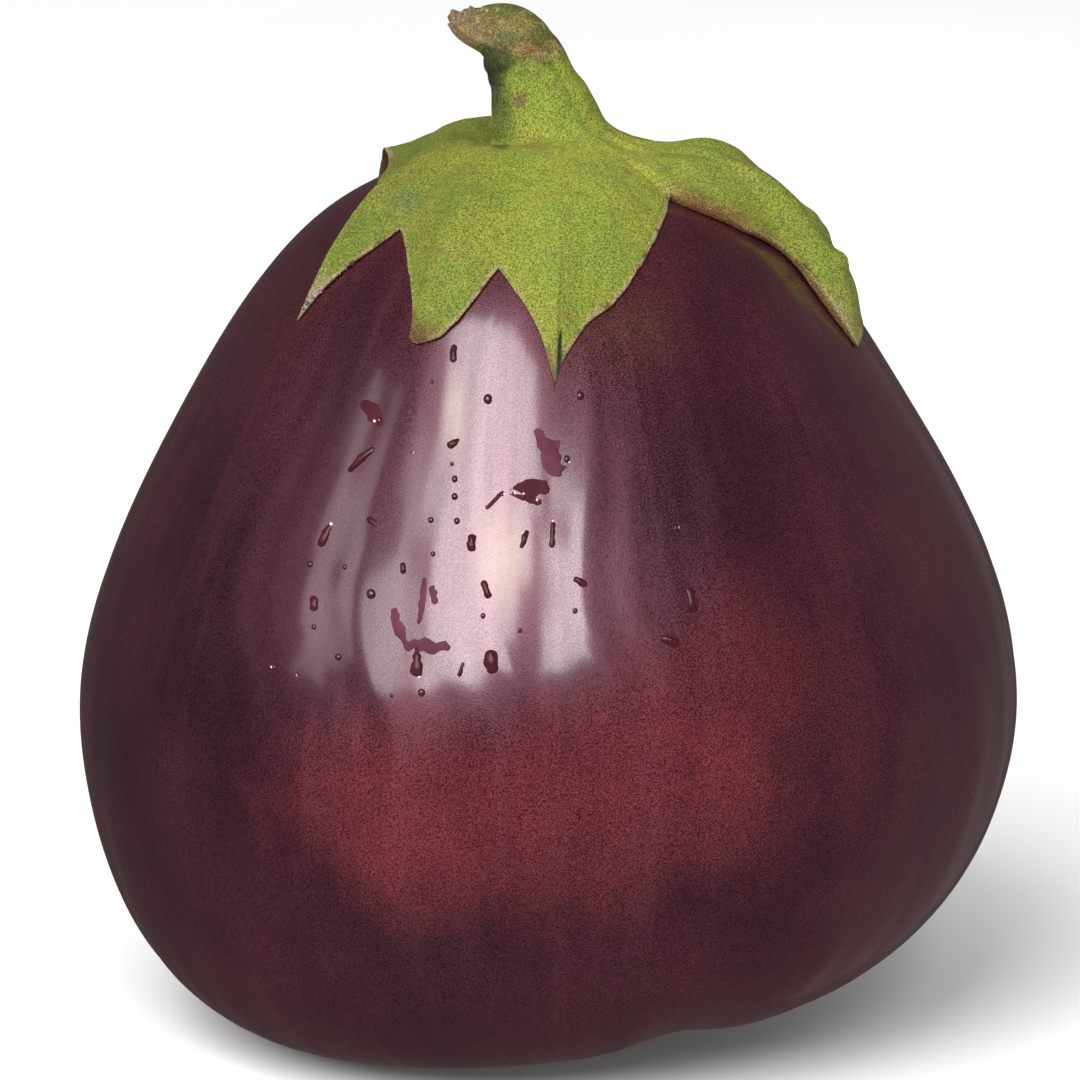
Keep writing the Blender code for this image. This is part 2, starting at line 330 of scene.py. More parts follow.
def blossom_relief(x, y, height):
    """Height that the cup and the folds of the blossom end raise the underside by."""
    dx = x - SCAR_PLACE[0]
    dy = y - SCAR_PLACE[1]
    raised = SCAR_DEPTH * np.exp(-(dx**2 + dy**2) / SCAR_WIDTH**2)
    for fold in FOLD_ANGLES:
        turn = math.radians(fold)
        along = dx * math.sin(turn) - dy * math.cos(turn)
        across = dx * math.cos(turn) + dy * math.sin(turn)
        width = FOLD_WIDTH + FOLD_SPREAD * np.abs(along)
        reach = ease(along / FOLD_START) * ease((FOLD_LENGTH - along) / FOLD_FADE)
        raised = raised + FOLD_DEPTH * bell(across, width) * reach
    return raised * ease((BLOSSOM_TOP - height) / BLOSSOM_FADE)


def skin_point(angle, length, ripple=0.0):
    """Point of the skin: the ribbed mean outline, sloped and folded below, flat where it rests.

    Ripple is a share of the radius that is added to the ribs."""
    radius = np.interp(length, SKIN, RADIUS)
    height = np.interp(length, SKIN, HEIGHT)
    radius = radius * (1 + ribs(angle, height) + ripple)
    x = radius * np.sin(angle) + BOW * bell(height - BOW_HEIGHT, BOW_REACH)
    y = -radius * np.cos(angle)
    height = height + UNDERSIDE_SLOPE * x * ease((UNDERSIDE_TOP - height) / UNDERSIDE_TOP)
    height = height + blossom_relief(x, y, height)
    return np.stack([x, y, np.maximum(height, 0.0)], axis=-1)


def skin_normal(angle, length):
    """Unit normal of the skin, from the cross product of its two tangents."""
    turn = 0.02
    step = 0.3
    around = skin_point(angle + turn, length) - skin_point(angle - turn, length)
    along = skin_point(angle, length + step) - skin_point(angle, length - step)
    return unit(np.cross(along, around))


def above_skin(angle, length, height):
    """Point at a height square to the skin."""
    return skin_point(angle, length) + skin_normal(angle, length) * np.asarray(height)[..., None]


def flat_place(angle, length):
    """Place on the skin laid out flat: x to the right and y to the front of the crown."""
    return np.stack([length * np.sin(angle), length * np.cos(angle)], axis=-1)


def smooth_noise(x, y, seed, size):
    """Smooth value noise between -1 and 1 on two coordinates, with cells of the given size."""
    table = np.random.default_rng(seed).uniform(-1, 1, (NOISE_CELLS, NOISE_CELLS))
    x = np.asarray(x) / size
    y = np.asarray(y) / size
    i = np.floor(x).astype(int)
    j = np.floor(y).astype(int)
    u = ease(x - i)
    v = ease(y - j)
    left, right = i % NOISE_CELLS, (i + 1) % NOISE_CELLS
    front, back = j % NOISE_CELLS, (j + 1) % NOISE_CELLS
    near = table[left, front] * (1 - u) + table[right, front] * u
    far = table[left, back] * (1 - u) + table[right, back] * u
    return near * (1 - v) + far * v


# Meshes


def middle_of_fruit():
    """Middle of the fruit's outline from above, which the solids have at x = y = 0."""
    turns = np.linspace(0, 2 * np.pi, MIDDLE_SAMPLES[0])
    lengths = np.linspace(0, SKIN[-1], MIDDLE_SAMPLES[1])
    points = skin_point(*np.meshgrid(turns, lengths))
    low = points.min(axis=(0, 1))
    high = points.max(axis=(0, 1))
    return np.array([(low[0] + high[0]) / 2, (low[1] + high[1]) / 2, 0.0])


MIDDLE = middle_of_fruit()


def ring_mesh(name, rings, first_pole, last_pole, attributes):
    """Closed mesh from rings of equal count, with a fan to a pole at each end.

    Every attribute is an array over the rings, and the poles take the mean of the ring beside them."""
    rows, columns = rings.shape[:2]
    points = np.vstack([rings.reshape(-1, 3), [first_pole, last_pole]])
    row, column = np.meshgrid(np.arange(rows - 1), np.arange(columns), indexing="ij")
    following = (column + 1) % columns
    upper = row * columns
    lower = upper + columns
    quads = np.stack([upper + column, lower + column, lower + following, upper + following], -1)
    faces = quads.reshape(-1, 4).tolist()
    j = np.arange(columns)
    k = (j + 1) % columns
    first = np.full(columns, rows * columns)
    end = (rows - 1) * columns
    fans = np.vstack([np.stack([first, j, k], -1), np.stack([first + 1, end + k, end + j], -1)])
    mesh = bpy.data.meshes.new(name)
    mesh.from_pydata(((points - MIDDLE) * MM).tolist(), [], faces + fans.tolist())
    for title, values in attributes.items():
        values = np.asarray(values, float)
        flat = values.reshape((rows * columns,) + values.shape[2:])
        ends = np.stack([values[0].mean(axis=0), values[-1].mean(axis=0)])
        whole = np.concatenate([flat, ends])
        kind, slot = ("FLOAT", "value") if whole.ndim == 1 else ("FLOAT_VECTOR", "vector")
        mesh.attributes.new(title, kind, "POINT").data.foreach_set(slot, whole.ravel())
    mesh.shade_smooth()
    return mesh


def placed(name, data):
    """New object in the scene, at the origin."""
    made = bpy.data.objects.new(name, data)
    bpy.context.scene.collection.objects.link(made)
    return made


def add_piece(name, mesh, material):
    """Object that shows the mesh and rides on the one body."""
    mesh.materials.append(material)
    piece = placed(name, mesh)
    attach(piece, "root")
    return piece


# Calyx and stem


def calyx_columns():
    """Column of every edge point: root angle, flat place, side, keel, lift, wall and owner.

    Side runs from -1 at the left notch over 0 at the tip to 1 at the right notch. Small nibbles shorten
    the edge."""
    columns = []
    for k, (_, _, keel, lift_left, lift_right, wall, left, right) in enumerate(SEPALS):
        following = SEPALS[(k + 1) % len(SEPALS)][6][0]
        end = (following[0] + (360 if k + 1 == len(SEPALS) else 0), following[1])
        found = []
        for corners, side_from in ((left, -1.0), (left[-1:] + right + [end], 0.0)):
            places = flat_place(np.radians([c[0] for c in corners]), np.array([c[1] for c in corners]))
            length = np.linalg.norm(np.diff(places, axis=0), axis=1).sum()
            count = round(length / COLUMN_WIDTH)
            share = np.arange(count) / count
            found.append(np.column_stack([spline(places, count + 1)[:-1], side_from + share]))
        found = np.vstack(found)
        side = found[:, 2]
        bitten = smooth_noise(found[:, 0], found[:, 1], *NIBBLE_NOISE) - 1
        nibble = EDGE_NIBBLE * bitten * np.sin(np.pi * np.abs(side))
        reach = np.linalg.norm(found[:, :2], axis=1)
        edge = found[:, :2] * ((reach + nibble) / reach)[:, None]
        first = left[0][0]
        root = np.radians(first + (end[0] - first) * np.arange(len(found)) / len(found))
        lift = np.where(side < 0, lift_left, lift_right)
        walls = wall * np.maximum(-side, 0) ** WALL_SHAPE
        same = np.ones(len(found))
        columns.append(np.column_stack([root, edge, side, keel * same, lift, walls, k * same]))
    return np.vstack(columns)


def root_thickness(root):
    """Thickness of the calyx at the foot of the stem, blended from sepal to sepal."""
    angles = [math.radians((sepal[6][0][0] + sepal[6][-1][0]) / 2) for sepal in SEPALS]
    return np.interp(root, angles, [sepal[1] for sepal in SEPALS], period=2 * math.pi)


def prickles(place):
    """Blunt cones and lumps on the top of the sepals."""
    raised = np.zeros(place.shape[:-1])
    for angle, length, height, radius in PRICKLES:
        away = np.linalg.norm(place - flat_place(math.radians(angle), length), axis=-1)
        raised = raised + height * ease(1 - away / radius)
    return raised


def slit_mask(t, side, owner):
    """How deep in a slit a place of the sheet is, from 0 to 1, and the depth of the slits there."""
    mask = np.zeros(len(side))
    depth = np.zeros(len(side))
    for name, middle, width, start, deep in SLITS:
        mine = owner == SEPAL_NAMES.index(name)
        inside = mine * bell(side - middle, width) * ease((t - start) / SLIT_FADE)
        mask = mask + inside
        depth = depth + inside * deep
    return mask, depth


def near_edge(t, start):
    """Smooth step over the way to the edge: 0 up to the share start, and 1 at the edge."""
    return ease((t - start) / (1 - start))


def sheet_heights(t, columns, place):
    """Heights of the underside and the top above the skin, at the share t of the way to the edge.

    The top has a faint midrib, the folds, lumps and prickles, and rounds off towards the edge. Both sides
    share the keel's arch and the lifted, waved edge."""
    root, side, keel, lift, wall, owner = columns[:, 0], *columns[:, 3:].T
    ridge = np.cos(np.pi * side / 2) ** 2
    growth = KEEL_AT_ROOT + (1 - KEEL_AT_ROOT) * ease(t / KEEL_FULL_FROM)
    rise = keel * ridge * growth * ease((1 - t) / KEEL_FADE)
    wave = 1 + WAVE_HEIGHT * smooth_noise(place[:, 0], place[:, 1], *WAVE_NOISE)
    curl = lift * wave * np.sin(np.pi * side) ** 2 * t**2
    thin = EDGE_THICKNESS + wall
    thickness = thin + (root_thickness(root) - thin) * (1 - t) ** 2
    thickness = thickness * (1 - EDGE_ROUNDING * near_edge(t, ROUNDING_FROM))
    relief = MIDRIB_HEIGHT * bell(side, MIDRIB_WIDTH) * (1 - near_edge(t, MIDRIB_FROM))
    for name, middle, width, height in FOLDS:
        mine = owner == SEPAL_NAMES.index(name)
        relief = relief + mine * height * bell(side - middle, width) * np.sin(np.pi * t)
    lumps = LUMP_HEIGHT * smooth_noise(place[:, 0], place[:, 1], *LUMP_NOISE)
    lumps = lumps * ease(t / LUMP_FADE) * ease((1 - t) / LUMP_FADE)
    gap = SKIN_GAP + (EDGE_GAP - SKIN_GAP) * near_edge(t, EDGE_GAP_FROM)
    under = gap + rise * ease(t / HOLLOW_FROM) + curl
    slits = np.minimum(slit_mask(t, side, owner)[1], thickness * SLIT_DEEPEST)
    return under, gap + rise + curl + thickness + relief + lumps + prickles(place) - slits


def stem_rings(columns):
    """Rings of the stem from the hollow of the cut end over its ragged rim down to the crown.

    Also gives how close each ring is to the cut, from 1 in the hollow to 0."""
    root = columns[:, 0]
    side = columns[:, 3]
    path = spline(STEM[::-1], STEM_ROWS)
    centre = path[:, :3]
    inward = unit(np.gradient(centre, axis=0))
    front = np.array([0.0, -1.0, 0.0])
    forward = unit(front - (inward @ front)[:, None] * inward)
    sideways = np.cross(forward, inward)
    around = np.sin(root)[:, None] * sideways[:, None] + np.cos(root)[:, None] * forward[:, None]
    down = way_along(centre)
    ridged = 1 + STEM_RIDGE * np.cos(np.pi * side) / 2 + waves(root, STEM_FURROWS)
    knobs = STEM_KNOBS * smooth_noise(root[None] * KNOBS_ROUND + KNOBS_START, down[:, None], *KNOB_NOISE)
    crease = CREASE_DEPTH * bell(centre[:, 2:] - CREASE_HEIGHT, CREASE_WIDTH)
    crease = crease * (CREASE_SIDES + (1 - CREASE_SIDES) * np.cos(root))
    rings = centre[:, None] + around * (path[:, 3:] * (ridged + knobs - crease))[..., None]
    ragged = waves(root, RAGGED)
    fade = np.exp(-down / RAGGED_REACH)
    rings = rings - inward[:, None] * (fade[:, None] * ragged)[..., None]
    hollow = []
    for share, depth in CUT_RINGS[::-1]:
        hollow.append(centre[0] + share * (rings[0] - centre[0]) + depth * inward[0])
    cut = np.concatenate([np.ones(len(hollow)), np.exp(-down / CUT_REACH)])
    return np.concatenate([hollow, rings]), cut


def calyx_sheet(columns, t, bulge=0.0, share=None):
    """Underside and top of the sepals at the share t of the way to the edge, or a share between them."""
    start = flat_place(columns[:, 0], SHOULDER)
    span = columns[:, 1:3] - start
    place = start + span * (t + bulge / np.linalg.norm(span, axis=1))[:, None]
    angle = np.arctan2(place[:, 0], place[:, 1])
    length = np.linalg.norm(place, axis=1)
    low, high = sheet_heights(t, columns, place)
    if share is None:
        return above_skin(angle, length, low), above_skin(angle, length, high)
    return above_skin(angle, length, low + (high - low) * share)


def calyx_rings():
    """Rings of the whole calyx and stem, and the attributes along them.

    The rings run over the cut end, the stem, the flare, the top of the sepals, the rim and the underside.
    Inset is the distance from the edge in millimetres, side tells left from right edges, low is 0 on top
    and 1 on the rim and below, cut is 1 at the cut end, and slit is 1 in the middle of a slit."""
    columns = calyx_columns()
    root = columns[:, 0]
    top = [calyx_sheet(columns, t)[1] for t in np.linspace(0, 1, SHEET_ROWS)]
    turns = np.arange(1, RIM_ROWS + 1) / (RIM_ROWS + 1)
    rim = [calyx_sheet(columns, 1.0, RIM_BULGE * math.sin(turn * math.pi), 1 - turn) for turn in turns]
    under = [calyx_sheet(columns, t)[0] for t in np.linspace(1, 0, UNDER_ROWS)]
    core = above_skin(root, CORE_LENGTH, SKIN_GAP)
    stem, cut = stem_rings(columns)
    foot = stem[-1]
    shoulder = top[0]
    corner = foot + FILLET_REACH * (shoulder - foot)
    slope = top[0] - top[2]
    rise = slope[:, 2] / np.linalg.norm(slope[:, :2], axis=1)
    reach = np.linalg.norm((shoulder - corner)[:, :2], axis=1)
    highest = np.maximum(foot[:, 2] - FILLET_DROP, shoulder[:, 2])
    corner[:, 2] = np.minimum(shoulder[:, 2] + rise * reach, highest)
    flare = []
    for t in np.arange(1, FILLET_ROWS + 1) / (FILLET_ROWS + 1):
        flare.append((1 - t) ** 2 * foot + 2 * t * (1 - t) * corner + t**2 * shoulder)
    rings = np.concatenate([stem, flare, top])
    first = len(stem) - JOIN_ROWS
    last = len(stem) + FILLET_ROWS + JOIN_ROWS
    facing = ease((np.cos(root) - JOIN_FROM) / (JOIN_FULL - JOIN_FROM))
    facing = JOIN_SIDES + (1 - JOIN_SIDES) * facing
    weight = np.sin(np.linspace(0, np.pi, last - first))[:, None, None] * facing[:, None]
    for _ in range(JOIN_ROUNDS):
        mean = (rings[first - 1 : last - 1] + 2 * rings[first:last] + rings[first + 1 : last + 1]) / 4
        rings[first:last] += weight * (mean - rings[first:last])
    rings = np.concatenate([rings, rim, under, [core]])

    stalk = np.zeros(len(stem) + FILLET_ROWS)
    way_out = np.linspace(0, 1, SHEET_ROWS)
    share = np.concatenate([stalk, way_out, np.ones(RIM_ROWS), np.linspace(1, 0, UNDER_ROWS), [0.0]])
    low = np.concatenate([stalk, 0 * way_out, turns, np.ones(UNDER_ROWS + 1)])
    near_cut = np.concatenate([cut, np.zeros(len(rings) - len(cut))])
    span = np.linalg.norm(columns[:, 1:3] - flat_place(root, SHOULDER), axis=1)
    slit = np.array([slit_mask(t, columns[:, 3], columns[:, 7])[0] for t in share])
    whole = np.ones(len(root))
    attributes = {
        "inset": (1 - share)[:, None] * span,
        "side": np.ones((len(rings), 1)) * columns[:, 3],
        "low": low[:, None] * whole,
        "cut": near_cut[:, None] * whole,
        "slit": slit * (low[:, None] == 0),
    }
    return rings, attributes, columns[:, 1:3]


def fruit_mesh(edge):
    """The fruit's skin with its ripples and scar rim, with columns that lie closer at the front.

    Attributes: grain is a place rolled out so that streaks run from the crown down, and shade is 1 at the
    calyx's edge and fades over a few millimetres, by the distance to the nearest point of that edge."""
    angle = np.arange(FRUIT_COLUMNS) / FRUIT_COLUMNS * 2 * np.pi
    angle = angle - FRONT_CROWDING * np.sin(angle)
    length = np.linspace(0, SKIN[-1], FRUIT_ROWS + 1)[1:-1]
    angle, length = np.meshgrid(angle, length)
    height = np.interp(length, SKIN, HEIGHT)
    fade = ease(length / RIPPLES_GROW) * ease((SKIN[-1] - length) / RIPPLES_FADE)
    wander = RIPPLE_WANDER * smooth_noise(length, 0.0, *RIPPLE_NOISE)
    rings = skin_point(angle, length, waves(angle + wander, RIPPLES) * fade)
    away = np.hypot(rings[..., 0] - SCAR_PLACE[0], rings[..., 1] - SCAR_PLACE[1])
    crumbs = 1 + SCAR_CRUMBS * smooth_noise(rings[..., 0], rings[..., 1], *SCAR_NOISE)
    rim = SCAR_RIM_HEIGHT * bell(away - SCAR_RIM, SCAR_RIM_WIDTH) * crumbs
    rings[..., 2] = np.maximum(rings[..., 2] - rim * (height < BLOSSOM_TOP), 0.0)
    place = flat_place(angle, length)
    distance = np.full(angle.shape, UNLIMITED)
    near = length < SHADE_WITHIN
    gaps = np.linalg.norm(place[near][:, None] - edge[None, ::SHADE_STEP], axis=2)
    distance[near] = gaps.min(axis=1)
    round_about = [GRAIN_SPREAD * np.sin(angle), GRAIN_SPREAD * np.cos(angle)]
    grain = np.stack(round_about + [GRAIN_SQUEEZE * length], axis=-1) * MM
    attributes = {"grain": grain, "shade": np.exp(-distance / SHADE_FADE)}
    top = skin_point(0.0, 0.0)
    bottom = skin_point(0.0, SKIN[-1])
    return ring_mesh("fruit_skin", rings, top, bottom, attributes)


# Water

# Drops where the camera sees them, in pixels: place across and down the frame, and half width. A long
# drop has one such station after another.
BEADS = [
    (488, 399, 4.5), (452, 464, 2), (454.6, 479, 3.2), (454.6, 496.5, 3.2), (457, 521, 3), (483, 616, 2.8),
    (379, 420, 3.2), (487, 507, 1.8), (502, 494.5, 2), (513.5, 493.5, 1.8), (523, 496, 1.9),
    (567, 459, 3.2), (310, 564, 3), (313.6, 627, 2.4), (288.4, 592.5, 1.6), (345, 567, 2.5),
    (430.7, 520, 2.8), (433, 554, 2.4), (371, 594, 4.5), (575, 611, 2.8), (580, 395.5, 4), (432, 381.7, 2),
    (338, 657, 3), (298.5, 674, 2), (273.7, 667, 2), (421.5, 692.6, 3.6), (391.7, 695.8, 2),
    (520, 630.6, 2.2), (676, 528, 2.6), (646.5, 534, 2), (653, 539, 2.2), (633, 446, 1.8), (412, 452, 1.6),
]
LONG_BEADS = [
    [(451, 445, 4), (458, 440, 1.8)],
    [(472, 538, 4.2), (471.5, 547, 4.6)],
    [(484, 583, 3.2), (488, 595, 4)],
    [(491.3, 656, 6.5), (491.3, 667, 7)],
    [(416.5, 656, 3.8), (417, 671, 5.8)],
    [(463, 664, 1.8), (459.5, 675, 2.2)],
    [(350, 470, 2.5), (361, 458, 4), (372, 449, 2.5)],
    [(321, 543, 4), (325, 534, 3.6), (330, 525, 2.2)],
    [(313.6, 599, 3.6), (313.6, 607, 4)],
    [(370, 520, 3.8), (376, 525, 2.4)],
    [(403, 565, 2.8), (403, 571, 3)],
    [(527, 532, 2), (524.5, 538, 3.8), (522, 546, 2.6)],
    [(553, 524, 2.4), (552, 545, 2.8)],
    [(577, 580, 4), (584, 584, 3.6)],
    [(454, 347, 3), (453, 359, 3.6)],
    [(690, 590, 4), (692, 608, 5)],
    [(665, 639, 4.5), (674, 642, 5.5)],
]
# Thin films and dark runs of water, and painted glints: pale dots that stand for the glints of light in them
# and in the beads
FILMS = [
    [(394, 612, 4), (398, 627, 6), (404, 641, 4)],
    [(408, 645, 5), (427, 645.5, 7), (445, 647, 6)],
    [(538, 433, 5), (545, 446, 10), (553, 458, 12), (557, 470, 7)],
    [(424, 580, 2.6), (423, 600, 3.4), (419, 622, 2.6)],
    [(433, 588, 3), (434, 600, 4.5)],
]
RUNS = [
    [(487, 509, 2), (496, 499, 3.4), (506, 490, 7), (522, 486, 10), (541, 488, 9)],
    [(509, 494, 3), (538, 502, 4)],
    [(366, 406, 6), (374, 413, 9), (379, 421, 5)],
    [(416, 655, 3), (418, 646, 2.5)],
]
PAINTED_GLINTS = [
    (504, 494, 1.4), (514.5, 493, 1.7), (523.5, 494, 1.5), (537, 500, 1.5), (569, 461.5, 1.3),
    (374.5, 421, 1.5), (369, 451, 1.3), (331, 524, 1.7), (327, 529, 1.1), (338, 656, 1.2), (297, 675, 1.2),
    (271.5, 667, 1.2), (419, 677, 1.2), (422.5, 694, 1.2), (693, 594, 1.3), (694.5, 608, 1.5),
    (667, 638, 1.7), (678, 527.5, 1.4), (523.5, 533, 1.2), (553, 521, 1.2), (312.5, 606, 1.2),
    (313.5, 628, 1), (392, 696, 1.2), (633, 445.5, 1.1), (413, 452.5, 1.1), (647, 534, 1.1),
    (288.5, 592.5, 1),
]
# Clear drops on the lower edges of the left and the right sepal
LEFT_SEPAL_DROPS = [
    (303, 308, 1.6), (307, 303, 2.2), (313, 297, 1.8), (320, 291, 2.4), (326, 284, 1.7), (331, 279, 2),
    (339, 273, 1.6), (345, 268, 1.8), (352, 263, 1.4),
]
RIGHT_SEPAL_DROPS = [
    (702, 202, 1.6), (712, 207, 2.2), (722, 212, 1.5), (735, 219, 1.6), (751, 230, 1.8), (788, 250, 1.6),
    (803, 261, 1.7),
]
DROP_ROWS = 14
DROP_COLUMNS = 12
DROP_HEIGHT = 0.85
FILM_HEIGHT = 0.8
DROP_SINK = 0.05
DROP_NUDGE = 0.15
MERGE_WITHIN = 0.005
SHORTEST_EDGE = 0.002
GUESS_STEPS = 6
LARGEST_TURN = 0.08
LARGEST_MOVE = 3.0
GUESS_ANGLES = np.radians(np.linspace(-78, 78, 53))
GUESS_LENGTHS = np.linspace(10, 110, 41)


def seen_at(point):
    """Place in the photograph's frame where the camera sees a point, across and down in pixels."""
    away = point - EYE
    scale = VIEW_DISTANCE * FRAME / VIEW_WIDTH / -(away @ BACK)
    return FRAME / 2 + away[..., 0] * scale, FRAME / 2 - (away @ UP) * scale


def place_under(across, down, height):
    """Angle and skin length of the front point at a height above the skin that the camera sees there.

    The nearest of a grid of places is moved by Newton's steps in the frame, with slopes by differences."""
    grid_angle, grid_length = np.meshgrid(GUESS_ANGLES, GUESS_LENGTHS)
    x, y = seen_at(above_skin(grid_angle, grid_length, height))
    nearest = np.argmin(np.hypot(x.ravel() - across[..., None], y.ravel() - down[..., None]), axis=-1)
    angle = grid_angle.ravel()[nearest]
    length = grid_length.ravel()[nearest]
    turn = 0.002
    step = 0.1
    for _ in range(GUESS_STEPS):
        x, y = seen_at(above_skin(angle, length, height))
        turned = seen_at(above_skin(angle + turn, length, height))
        moved = seen_at(above_skin(angle, length + step, height))
        xa, ya = (turned[0] - x) / turn, (turned[1] - y) / turn
        xl, yl = (moved[0] - x) / step, (moved[1] - y) / step
        area = xa * yl - xl * ya
        turn_by = ((across - x) * yl - (down - y) * xl) / area
        move_by = ((down - y) * xa - (across - x) * ya) / area
        angle = angle + np.clip(turn_by, -LARGEST_TURN, LARGEST_TURN)
        length = length + np.clip(move_by, -LARGEST_MOVE, LARGEST_MOVE)
    return angle, length


def drop_sheets(stations, base, tallest, uneven):
    """Upper and lower sheet of a drop: rows along its path, columns across it.

    The half width falls to nothing at both ends as a half circle does. The height follows a half circle
    along and across, up to the tallest height in pixels. Uneven is how far the outline wanders, as a share
    of the width."""
    stations = np.array(stations, float)
    if len(stations) == 1:
        nudge = np.array([0.0, DROP_NUDGE * stations[0, 2], 0.0])
        stations = np.array([stations[0] - nudge, stations[0] + nudge])
    at = way_along(stations[:, :2])
    turn = np.linspace(0, np.pi, DROP_ROWS)
    reach = (at[-1] + stations[0, 2] + stations[-1, 2]) / 2
    along = reach * (1 - np.cos(turn)) - stations[0, 2]
    inner = np.clip(along, 0, at[-1])
    x, y, half = (np.interp(inner, at, stations[:, k]) for k in range(3))
    ahead = np.gradient(stations[:, :2], axis=0)
    way = unit(np.column_stack([np.interp(inner, at, ahead[:, k]) for k in range(2)]))
    beyond = along - inner
    width = half * np.sqrt(np.clip(1 - (beyond / half) ** 2, 0, 1))
    width[[0, -1]] = 0.0
    spread = np.cos(np.linspace(0, np.pi, DROP_COLUMNS))
    aside = width[:, None] * spread
    for _ in range(2):
        across = (x + way[:, 0] * beyond)[:, None] - aside * way[:, 1:]
        down = (y + way[:, 1] * beyond)[:, None] + aside * way[:, :1]
        aside = width[:, None] * spread * (1 + uneven * smooth_noise(across, down, *FILM_NOISE))
    angle, length = place_under(across, down, base)
    crown = np.minimum(DROP_HEIGHT * half * np.sin(turn), tallest) * VIEW_WIDTH / FRAME
    dome = crown[:, None] * np.sqrt(np.clip(1 - spread**2, 0, 1))
    upper = above_skin(angle, length, base + dome - DROP_SINK)
    return upper, above_skin(angle, length, base - DROP_SINK)


def water_mesh(name, drops, base, tallest, uneven):
    """Drops as closed domes at a height above the skin: an upper sheet, and a lower one sunk a little."""
    row, column = np.meshgrid(np.arange(DROP_ROWS - 1), np.arange(DROP_COLUMNS - 1), indexing="ij")
    corner = (row * DROP_COLUMNS + column).ravel()
    quad = np.stack([corner, corner + DROP_COLUMNS, corner + DROP_COLUMNS + 1, corner + 1], -1)
    sheet = DROP_ROWS * DROP_COLUMNS
    points = []
    faces = []
    for k, stations in enumerate(drops):
        upper, lower = drop_sheets(stations, base, tallest, uneven)
        points += [upper.reshape(-1, 3), lower.reshape(-1, 3)]
        faces += [quad + 2 * k * sheet, quad[:, ::-1] + (2 * k + 1) * sheet]
    mesh = bpy.data.meshes.new(name)
    mesh.from_pydata(((np.vstack(points) - MIDDLE) * MM).tolist(), [], np.vstack(faces).tolist())
    shape = bmesh.new()
    shape.from_mesh(mesh)
    bmesh.ops.remove_doubles(shape, verts=shape.verts, dist=MERGE_WITHIN * MM)
    bmesh.ops.dissolve_degenerate(shape, edges=shape.edges, dist=SHORTEST_EDGE * MM)
    bmesh.ops.recalc_face_normals(shape, faces=shape.faces)
    shape.to_mesh(mesh)
    shape.free()
    mesh.shade_smooth()
    return mesh


# Materials


class Shader:
    """Node material under construction, on a Principled shader."""

    def __init__(self, name):
        self.material = bpy.data.materials.new(name)
        self.material.use_nodes = True
        self.tree = self.material.node_tree
        self.surface = self.tree.nodes["Principled BSDF"]
        self.where = self.node("ShaderNodeTexCoord").outputs["Object"]
        self.colour = (1.0,) * 3

    def node(self, kind, inputs=None, **settings):
        """New node with its settings, and inputs that are values or other nodes' outputs."""
        made = self.tree.nodes.new(kind)
        for key, value in settings.items():
            setattr(made, key, value)
        for key, value in (inputs or {}).items():
            self.put(made.inputs[key], value)
        return made

    def put(self, socket, value):
        """Value or output into a socket."""
        if isinstance(value, bpy.types.NodeSocket):
            self.tree.links.new(value, socket)
        else:
            socket.default_value = (*value, 1.0) if socket.type == "RGBA" else value

    def set(self, **values):
        """Inputs of the Principled shader, by their names with underscores."""
        for key, value in values.items():
            self.put(self.surface.inputs[key.replace("_", " ")], value)

    def attribute(self, name, output="Fac"):
        """Attribute of the mesh."""
        return self.node("ShaderNodeAttribute", attribute_name=name).outputs[output]

    def noise(self, scale, detail=3.0, roughness=0.55, vector=None):
        """Noise with cells of 1 / scale metres."""
        inputs = {"Vector": vector or self.where, "Scale": scale, "Detail": detail, "Roughness": roughness}
        return self.node("ShaderNodeTexNoise", inputs).outputs["Fac"]

    def step(self, value, low, high, top=1.0, bottom=0.0):
        """Smooth step that goes from bottom to top as the value goes from low to high."""
        inputs = {"Value": value, "From Min": low, "From Max": high, "To Min": bottom, "To Max": top}
        return self.node("ShaderNodeMapRange", inputs, interpolation_type="SMOOTHSTEP").outputs["Result"]

    def math(self, kind, *values):
        """Math node on up to three values."""
        made = self.node("ShaderNodeMath", operation=kind)
        for socket, value in zip(made.inputs, values):
            self.put(socket, value)
        return made.outputs[0]

    def times(self, a, b):
        """Product of two values."""
        return self.math("MULTIPLY", a, b)

    def plus(self, a, b):
        """Sum of two values."""
        return self.math("ADD", a, b)

    def mix(self, factor, a, b, kind="MIX"):
        """Colour a to colour b by the factor."""
        made = self.node("ShaderNodeMix", data_type="RGBA", blend_type=kind)
        self.put(made.inputs["Factor"], factor)
        self.put(made.inputs[6], a)
        self.put(made.inputs[7], b)
        return made.outputs[2]

    def paint(self, mask, colour):
        """Takes the surface's colour to another by the mask."""
        self.colour = self.mix(mask, self.colour, colour)

    def glaze(self, colour):
        """Multiplies the surface's colour by another."""
        self.colour = self.mix(1.0, self.colour, colour, "MULTIPLY")

    def grains(self, specks, low, high, darkest, lightest):
        """Grey between two levels, by the specks."""
        return self.mix(self.step(specks, low, high), (darkest,) * 3, (lightest,) * 3)

    def bump(self, height, strength, distance):
        """Fine relief of the surface, over a distance in millimetres."""
        inputs = {"Strength": strength, "Distance": distance * MM, "Height": height}
        self.set(Normal=self.node("ShaderNodeBump", inputs).outputs["Normal"])

    def ball(self, centre, radius):
        """Soft ball in object space: 1 at its centre and 0 from its radius outwards, in millimetres."""
        centre = (np.array(centre) - MIDDLE) * MM
        radius = np.array(radius) * MM
        inputs = {"Vector": self.where, "Location": centre.tolist(), "Scale": radius.tolist()}
        moved = self.node("ShaderNodeMapping", inputs, vector_type="TEXTURE").outputs["Vector"]
        length = self.node("ShaderNodeVectorMath", {0: moved}, operation="LENGTH").outputs["Value"]
        return self.step(length, 1.0, 0.0)


